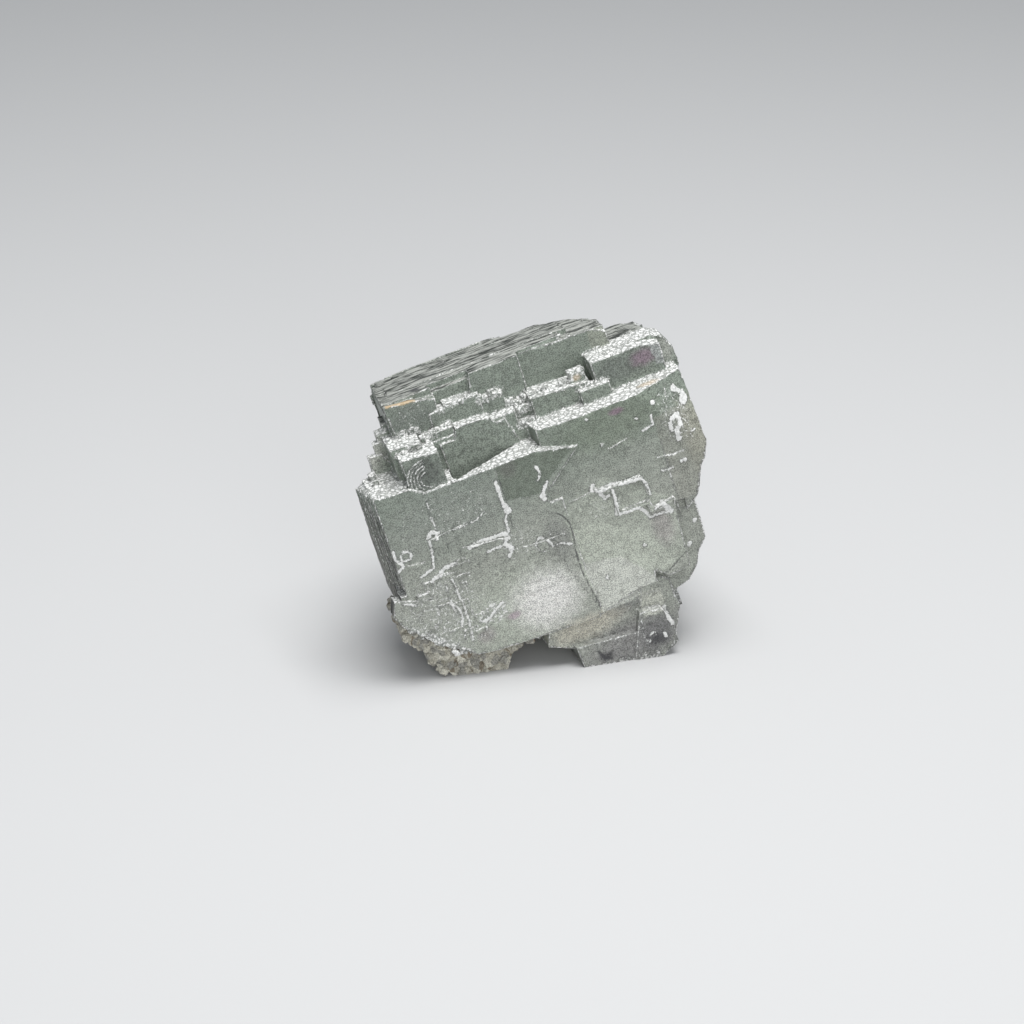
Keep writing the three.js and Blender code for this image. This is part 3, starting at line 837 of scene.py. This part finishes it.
def new_group(name, inputs, outputs):
    group = bpy.data.node_groups.new(name, "ShaderNodeTree")
    for socket, kind, value in inputs:
        made_socket = group.interface.new_socket(socket, in_out="INPUT", socket_type=kind)
        if value is not None:
            made_socket.default_value = value
    for socket in outputs:
        group.interface.new_socket(socket, in_out="OUTPUT", socket_type="NodeSocketFloat")
    return group, group.nodes.new("NodeGroupInput").outputs, group.nodes.new("NodeGroupOutput").inputs


def use_group(group, inputs):
    return add_node(inputs["Place"].id_data, "Group", inputs, node_tree=group).outputs


# %% [markdown]
# Two effects come back again and again, so each is a node group. "Patch" is a soft round spot with a
# ragged rim, for zones of colour inside the crystal. "Grain" is the fine speckle of a surface that is
# rough at the size of sand, as a shade and as a height. Both materials use it.

# %% Node groups: patch and grain
FLOAT, VECTOR = "NodeSocketFloat", "NodeSocketVector"
patch, given, result = new_group(
    "patch", [("Place", VECTOR, None), ("Centre", VECTOR, None), ("Reach", VECTOR, (1, 1, 1)),
              ("Waver", FLOAT, 0.0), ("Ragged", FLOAT, 0.5)], ["Mask"])
offset = reckon_vector("SUBTRACT", given["Place"], given["Centre"])
offset = reckon_vector("DIVIDE", offset, given["Reach"])
distance = reckon_vector("LENGTH", offset, output="Value")
distance = plus(distance, times(given["Waver"], given["Ragged"]))
patch.links.new(step_up(distance, 1.15, 0.35), result["Mask"])

grain_group, given, result = new_group(
    "grain", [("Place", VECTOR, None), ("Per mm", FLOAT, 4.0)], ["Shade", "Height"])
fine = noise(given["Place"], given["Per mm"], 3.0, 0.65)
coarse = noise(given["Place"], times(given["Per mm"], 0.22), 2.0)
shade = plus(times(fine, 0.8), times(coarse, 0.2))
grain_group.links.new(step_up(shade, 0.36, 0.64), result["Shade"])
grain_group.links.new(fine, result["Height"])

# %% [markdown]
# The crystal itself is pale grey-green and half clear: light goes in, wanders, and comes out soft.
# Transmission lets part of the light through and a rough surface blurs it. Over that come zones of
# colour, each in its own place on the lattice: a dark green window, a pale yellow-green panel, a
# milky heart low in the middle that is painted glow, and breaths of violet. The body is also painted
# darker high up and lighter low down. A few zones are painted shadow, shade and light: under the
# right panel, on a narrow wall and on the left steps.

# %% Crystal material: the body colour
crystal = bpy.data.materials.new("frosted crystal")
crystal.use_nodes = True
tree = crystal.node_tree
tree.nodes.clear()
place = on_lattice(tree)
true_normal = add_node(tree, "NewGeometry").outputs["True Normal"]


def faces_along(axis):
    """How squarely the surface faces along a lattice direction."""
    return reckon_vector("DOT_PRODUCT", true_normal, axis, output="Value")


waver = add_node(tree, "TexNoise", {
    "Vector": place, "Scale": 1.0, "Detail": 4.0, "Roughness": 0.58}).outputs
zone_waver = reckon("SUBTRACT", waver["Fac"], 0.5)


def zone(centre, reach, ragged=0.6):
    inputs = {"Place": place, "Centre": centre, "Reach": reach, "Waver": zone_waver, "Ragged": ragged}
    return use_group(patch, inputs)["Mask"]


axis_a, axis_b = list(lattice.transposed())[:2]
a_b_c = add_node(tree, "SeparateXYZ", {0: place}).outputs
grain_here = use_group(grain_group, {"Place": place, "Per mm": 6.0})
cloudy = noise(place, 0.22, 1.0, 0.6)
# The body is painted darker high up and lighter low down: painted shade at the top and painted glow low
# down.
painted_glow_low_down = step_up(plus(a_b_c[1], times(cloudy, 8)), 5, -14)
body_colour = mix_colour(painted_glow_low_down, (0.246, 0.282, 0.238, 1), (0.38, 0.397, 0.352, 1))
PALE_PANEL, MILKY_PAINTED_GLOW, GREY_VIOLET = (0.515, 0.555, 0.472, 1), (0.83, 0.82, 0.79, 1), (0.24, 0.23, 0.236, 1)
VIOLET, BEIGE, DIM = (0.29, 0.15, 0.25, 1), (0.57, 0.54, 0.45, 1), (0.17, 0.17, 0.17, 1)
DARK = (0.05, 0.05, 0.055, 1)
for centre, reach, colour, share in (
        ((13.5, -23, -1), (11, 8, 5), PALE_PANEL, 0.6),
        # painted glow: the milky heart low in the middle, where light comes through
        ((17.6, -23.2, -1), (6.2, 5.6, 4), MILKY_PAINTED_GLOW, 0.95),
        ((33, -2.4, -0.5), (10, 4.2, 3), (0.19, 0.23, 0.17, 1), 0.6),
        ((27, -34.5, -2), (10, 4.2, 8), GREY_VIOLET, 0.7),
        ((30.6, -34, -0.1), (3.4, 3.4, 2.5), DIM, 0.75),
        ((30.4, -35.3, -0.3), (1.5, 1.0, 2), DARK, 0.75),
        # painted shadow under the bottom edge of the right panel
        ((27.0, -29.2, -0.9), (3.6, 1.3, 2), DIM, 0.6),
        ((10, -6, 0), (14, 7, 3), (0.24, 0.26, 0.24, 1), 0.3),
        ((22.9, -34.8, 0), (1.3, 0.8, 2), DARK, 0.75),
        ((43.6, -8.5, -1), (2.6, 6.5, 3), (0.5, 0.47, 0.36, 1), 0.45),
        # painted light on the left steps, whose faces turn away from the lamps
        ((1.8, 2.8, -9.5), (3.4, 4.8, 5), (0.55, 0.55, 0.5, 1), 0.75),
        ((7.4, 0.2, -0.6), (3.6, 2.9, 1.2), (0.1, 0.112, 0.1, 1), 0.8),
        # painted shade on the narrow wall left of the seam
        ((21.6, -15.6, 0), (2.4, 4.4, 2), DIM, 0.4),
        ((8.8, 5.5, -6.5), (4, 3, 2), (0.15, 0.165, 0.15, 1), 0.5),
        ((37, 2.6, -4.6), (5, 2.4, 1.2), (0.15, 0.165, 0.15, 1), 0.6),
        ((44.1, 2.2, -6.8), (1.5, 2.6, 1.5), (0.42, 0.43, 0.39, 1), 0.8),
        ((21.5, -29.6, -1), (6.5, 2.4, 3.5), BEIGE, 0.8),
        ((18, -3.2, 0), (1.6, 1.4, 1.5), VIOLET, 0.5),
        ((12.8, -23.7, 0), (1.3, 0.7, 1.5), VIOLET, 0.5),
        ((8.4, -25, 0), (1.6, 1.4, 1.5), VIOLET, 0.25),
        ((35.6, -19.5, -0.5), (1.9, 3.4, 2), VIOLET, 0.4),
        ((34.1, -1.2, -0.5), (1.2, 0.6, 1.5), VIOLET, 0.6),
        ((40.4, 2.9, -4.6), (2.2, 1.5, 2), VIOLET, 0.5)):
    strength = times(zone(centre, reach), share)
    body_colour = mix_colour(strength, body_colour, colour)

# %% [markdown]
# Some zones have straight, sharp sides, because they are facets of their own. Such a facet is what
# lies inside all of its sides, so the smallest of the distances to its sides says whether a place is
# in it. The corners are given anticlockwise, as (a, b).

# %% Crystal material: sharp facets
shift = reckon_vector("SUBTRACT", waver["Color"], (0.5, 0.5, 0.5))
wavy_place = reckon_vector("MULTIPLY_ADD", shift, (0.9, 0.9, 0.0), place)


def facet(corners, depth, thick, soft=0.12):
    """1 inside the outline on faces near the given depth c."""
    off_depth = reckon("ABSOLUTE", reckon("SUBTRACT", a_b_c[2], depth))
    inside = reckon("SUBTRACT", thick, off_depth)
    for (a, b), (next_a, next_b) in zip(corners, corners[1:] + corners[:1]):
        inward = Vector((b - next_b, next_a - a, 0)).normalized()
        along = reckon_vector("DOT_PRODUCT", wavy_place, inward, output="Value")
        inside = reckon("MINIMUM", inside, reckon("SUBTRACT", along, inward.dot(Vector((a, b, 0)))))
    return step_up(inside, -soft, soft)


FACETS = [  # corners, depth c, how thick, colour, strength
    ([(16.5, -1.6), (16.5, -7.3), (20.9, -8.2), (27.4, -3.2), (27.2, -1.8)], 0, 0.35,
     (0.15, 0.18, 0.14, 1), 0.8),
    ([(23.2, -12.2), (23.4, -22.0), (24.3, -28.5), (30, -28.6), (38.4, -24.3), (37.4, -15.5),
      (30, -9.5)], -0.6, 0.7, PALE_PANEL, 0.4),
    ([(23.4, -15.4), (23.4, -22.0), (24.3, -28.5), (30, -28.6), (36, -25.3), (33, -19),
      (27, -15.4)], -0.6, 0.7, (0.555, 0.59, 0.508, 1), 0.55),
    # painted glow low in the right panel
    ([(23.6, -20.5), (24.3, -28.5), (30, -28.6), (33, -26.6), (29, -21.5)], -0.6, 0.7, MILKY_PAINTED_GLOW, 0.35),
    ([(38.6, -4), (38.6, -17), (44.5, -17), (44.5, -4)], -0.8, 1.0, (0.3, 0.3, 0.26, 1), 0.5),
    ([(29.6, -28.0), (29.5, -31.3), (33.0, -31.6), (33.0, -28.6)], -3, 4, (0.6, 0.61, 0.54, 1), 0.85),
    ([(41.5, 4.4), (41.9, 1.2), (45, 0.4), (45, 4.6)], -4.8, 0.6, (0.42, 0.44, 0.43, 1), 0.8),
    ([(34.9, 8.6), (34.6, 3.4), (38, 3.4), (38, 8.6)], -8.4, 0.6, (0.34, 0.36, 0.3, 1), 0.8),
]
for corners, depth, thick, colour, share in FACETS:
    strength = times(facet(corners, depth, thick), share)
    body_colour = mix_colour(strength, body_colour, colour)
speckle = mix_colour(grain_here["Shade"], (0.42, 0.42, 0.42, 1), (1.5, 1.5, 1.5, 1))
body_colour = add_node(tree, "Mix", {0: 1.0, 6: body_colour, 7: speckle},
                       data_type="RGBA", blend_type="MULTIPLY").outputs[2]
print("zones and facets:", len(tree.nodes), "nodes")

# %% [markdown]
# Frost is white. It covers what faces up along the lattice, follows the strokes, whitens the chipped
# edges and gathers in corners. A speckle is added to most of these numbers before they are cut off at
# a level, which makes the rim of the frost ragged. Beside the strokes and the standing edges the colour
# is darkened, as painted shade of the small grooves there. The stripes of the top and the flank come
# next: the dark streaks of the top are partly painted shade, and the flank is painted in shade. A few
# spots of rust and the painted shade of small pits on the top are the last.

# %% Crystal material: frost, stripes, rust and painted shade
def kept(name):
    return add_node(tree, "Attribute", attribute_name=name).outputs["Fac"]


ragged = reckon("SUBTRACT", noise(place, 3.4, 3.0, 0.75), 0.5)
facing_up = faces_along(axis_b)
striped = larger(step_up(a_b_c[1], 7.0, 7.3), step_up(a_b_c[2], -9.4, -9.8))
top_area = times(step_up(facing_up, 0.75, 0.9), striped)
bare = reckon("SUBTRACT", step_up(a_b_c[1], -26.0, -28.0),
              zone((31.0, -31.2, -2.0), (2.6, 1.2, 2.5)), clamp=True)
bare = larger(top_area, times(bare, 0.85))
ledge_area = reckon("SUBTRACT", step_up(facing_up, 0.55, 0.8), bare, clamp=True)
veins = cells(wavy_place, 1.5)
net = cells(wavy_place, 1.05)
net = step_up(plus(net, times(ragged, 0.3)), 0.16, 0.05)
veins = step_up(plus(veins, times(ragged, 0.45)), 0.0, 0.22)
frost_amount = times(kept("ridge"), 0.92)
frost_amount = larger(frost_amount, times(kept("corner"), 0.95))
flecks = 0.1
for centre, reach, share in (((4, -19.5, 0), (9, 9.5, 3), 0.35), ((10.3, -22.2, 0), (3.4, 2.6, 2), 0.42),
                             ((9, -6, 0), (12, 6, 3), 0.27), ((16, -13.5, 0), (4, 4, 3), 0.32),
                             ((29, -13.5, 0), (5, 3, 3), 0.28),
                             ((41.5, -5, -1), (4, 7, 3), 0.33), ((8.8, 6, -6.5), (4, 3, 2), 0.26),
                             ((24, -30, -1), (10, 3, 4), 0.25)):
    flecks = larger(flecks, times(zone(centre, reach), share))
netted = times(net, times(flecks, 1.7))
at_the_back = times(step_up(a_b_c[2], -13.0, -16.0), cloudy)
flecks = larger(flecks, times(at_the_back, 0.5))
frost_amount = larger(frost_amount, larger(flecks, netted))
frost_amount = plus(frost_amount, times(ragged, 1.9))
uneven = plus(times(zone_waver, 1.1), 0.04)
stroke = plus(plus(kept("stroke"), uneven), times(ragged, 1.15))
frost = larger(step_up(frost_amount, 0.48, 0.72), ledge_area)
frost = larger(frost, step_up(stroke, 0.92, 1.04))
thick_frost = reckon("ADD", times(ragged, 1.9), 0.85, clamp=True)
in_stroke = step_up(kept("stroke"), 0.8, 1.0)
veins = larger(veins, times(in_stroke, thick_frost))
frost_colour = mix_colour(veins, (0.3, 0.31, 0.29, 1), (0.95, 0.95, 0.93, 1))
# Beside the strokes and the standing edges the colour is darkened: painted shade of the small grooves
# there.
painted_shade_beside = larger(step_up(kept("stroke"), 0.55, 0.9), step_up(kept("ridge"), 0.2, 0.6))
colour = mix_colour(times(painted_shade_beside, 0.4), body_colour, DARK)
seam = plus(kept("seam"), times(ragged, 0.3))
colour = mix_colour(times(step_up(seam, 0.85, 1.05), 0.75), colour, DARK)
colour = mix_colour(frost, colour, frost_colour)
flank_area = times(step_up(a_b_c[0], 1.6, 1.0), step_up(a_b_c[1], -2.0, -3.4))
flank_area = times(step_up(faces_along(-axis_a), 0.7, 0.85), flank_area)
stretch = add_node(tree, "Mix", {0: flank_area, 4: (0.3, 0.6, 3.2), 5: (0.5, 0.14, 2.6)},
                   data_type="VECTOR").outputs[1]
squeezed = reckon_vector("MULTIPLY", place, stretch)
streaks = noise(squeezed, 1.0, 3.0, 0.65)
# Dark streaks between the sheets of the top: partly their own colour, partly painted shade of the small
# steps between them.
top_streaks = step_up(streaks, 0.42, 0.56)
top_colour = mix_colour(top_streaks, (0.045, 0.05, 0.043, 1), (0.43, 0.44, 0.405, 1))
colour = mix_colour(top_area, colour, top_colour)
# The flank's streaks are its own, but its dark colours are painted shade, darkest towards the front
# edge; the lighter streaks are painted as lit sheets.
flank_streaks = step_up(streaks, 0.5, 0.68)
to_edge = step_up(a_b_c[2], -5.0, -3.4)
painted_flank_shade = mix_colour(to_edge, (0.1, 0.1, 0.085, 1), (0.012, 0.013, 0.011, 1))
lit = mix_colour(to_edge, (0.42, 0.42, 0.38, 1), (0.2, 0.2, 0.17, 1))
colour = mix_colour(flank_area, colour, mix_colour(flank_streaks, painted_flank_shade, lit))
RUST = (0.72, 0.5, 0.26, 1)
rusty = times(facet([(5.9, 8.3), (10.1, 7.8), (10.2, 8.2), (6.0, 8.7)], -6.4, 0.7), 0.65)
colour = mix_colour(rusty, colour, RUST)
for centre, reach, tint, share in (((31.2, 3.2, -5.4), (0.7, 0.6, 1.0), RUST, 0.4),
                                   ((39.6, -0.1, -2.6), (1.8, 0.6, 0.8), RUST, 0.35),
                                   # painted shade in small pits on the top
                                   ((10.6, 8.3, -8.6), (1.1, 0.5, 0.6), DARK, 0.9),
                                   ((14.0, 8.0, -7.8), (0.5, 0.6, 0.6), DARK, 1.0),
                                   ((17.0, 7.5, -6.3), (0.6, 0.5, 0.6), DARK, 0.8)):
    colour = mix_colour(times(zone(centre, reach, 0.8), share), colour, tint)
print("crystal colours:", len(tree.nodes), "nodes")

# %% [markdown]
# One Principled shader carries it all. The frost is rougher than the bare crystal, the grain gives a
# faint bump, and a part of the light is let through, bent as this mineral bends it.

# %% Crystal material: surface and inside
rough = add_node(tree, "MapRange", {"Value": frost, "To Min": 0.4, "To Max": 0.72}).outputs[0]
bump = add_node(tree, "Bump", {
    "Height": grain_here["Height"], "Strength": 0.8, "Distance": 0.0001}).outputs[0]
surface = add_node(tree, "BsdfPrincipled", {
    "Base Color": colour, "Roughness": rough, "IOR": 1.44, "Transmission Weight": 0.3, "Normal": bump})
add_node(tree, "OutputMaterial", {"Surface": surface.outputs[0]})
cluster.data.materials.clear()
cluster.data.materials.append(crystal)

# %% [markdown]
# The crust is dull and opaque, beige with brown and grey grains mixed in.

# %% Crust material
sandy = bpy.data.materials.new("sandy crust")
sandy.use_nodes = True
tree = sandy.node_tree
tree.nodes.clear()
place = on_lattice(tree)
grain_here = use_group(grain_group, {"Place": place, "Per mm": 5.0})
kinds = add_node(tree, "TexVoronoi", {"Vector": place, "Scale": 1.2}).outputs["Color"]
kinds = add_node(tree, "SeparateXYZ", {0: kinds}).outputs
colour = mix_colour(kinds[0], (0.34, 0.325, 0.27, 1), (0.6, 0.585, 0.51, 1))
colour = mix_colour(step_up(kinds[1], 0.82, 0.9), colour, (0.22, 0.19, 0.145, 1))
colour = mix_colour(step_up(kinds[2], 0.7, 0.8), colour, (0.3, 0.295, 0.265, 1))
speckle = mix_colour(grain_here["Shade"], (0.6, 0.6, 0.6, 1), (1.25, 1.25, 1.25, 1))
colour = add_node(tree, "Mix", {0: 1.0, 6: colour, 7: speckle},
                  data_type="RGBA", blend_type="MULTIPLY").outputs[2]
bump = add_node(tree, "Bump", {
    "Height": grain_here["Height"], "Strength": 0.9, "Distance": 0.00015}).outputs[0]
surface = add_node(tree, "BsdfPrincipled", {
    "Base Color": colour, "Roughness": 0.8, "Normal": bump})
add_node(tree, "OutputMaterial", {"Surface": surface.outputs[0]})
crust.data.materials.clear()
crust.data.materials.append(sandy)
print("materials:", [m.name for m in bpy.data.materials])

# %% [markdown]
# A plain pale floor, a large soft light overhead and a weak one from the front show the relief: the
# ledges face up and catch the light, and the front faces stay calm.

# %% Floor, lights and camera
bpy.ops.mesh.primitive_plane_add(size=3)
floor = bpy.context.object
floor.name = "floor"
paper = bpy.data.materials.new("pale paper")
paper.use_nodes = True
look = paper.node_tree.nodes["Principled BSDF"].inputs
look["Base Color"].default_value = (0.5, 0.5, 0.5, 1)
look["Roughness"].default_value = 0.9
floor.data.materials.append(paper)


def softbox(name, place, target, size, watts):
    light = bpy.data.lights.new(name, "AREA")
    light.shape = "SQUARE"
    light.size = size
    light.energy = watts
    lamp = bpy.data.objects.new(name, light)
    bpy.context.scene.collection.objects.link(lamp)
    lamp.location = place
    lamp.rotation_euler = (Vector(target) - Vector(place)).to_track_quat("-Z", "Y").to_euler()


MIDDLE = (0, 0, 0.02)
softbox("overhead", (0.03, -0.06, 0.46), MIDDLE, 0.28, 2.6)
softbox("front fill", (0.12, -0.62, 0.22), MIDDLE, 0.4, 1.7)
world = bpy.data.worlds.new("studio")
world.use_nodes = True
glow = world.node_tree.nodes["Background"].inputs
glow["Color"].default_value = (0.9, 0.95, 1, 1)
glow["Strength"].default_value = 0.42
bpy.context.scene.world = world

camera = bpy.data.objects.new("camera", bpy.data.cameras.new("camera"))
bpy.context.scene.collection.objects.link(camera)
camera.location = (-0.002744, -0.371491, 0.191172)
camera.rotation_euler = (math.radians(65), 0, 0)
camera.data.lens = 105.469
camera.data.sensor_width = 36
camera.data.clip_start = 0.01
bpy.context.scene.camera = camera
bpy.context.scene.view_settings.view_transform = "Standard"
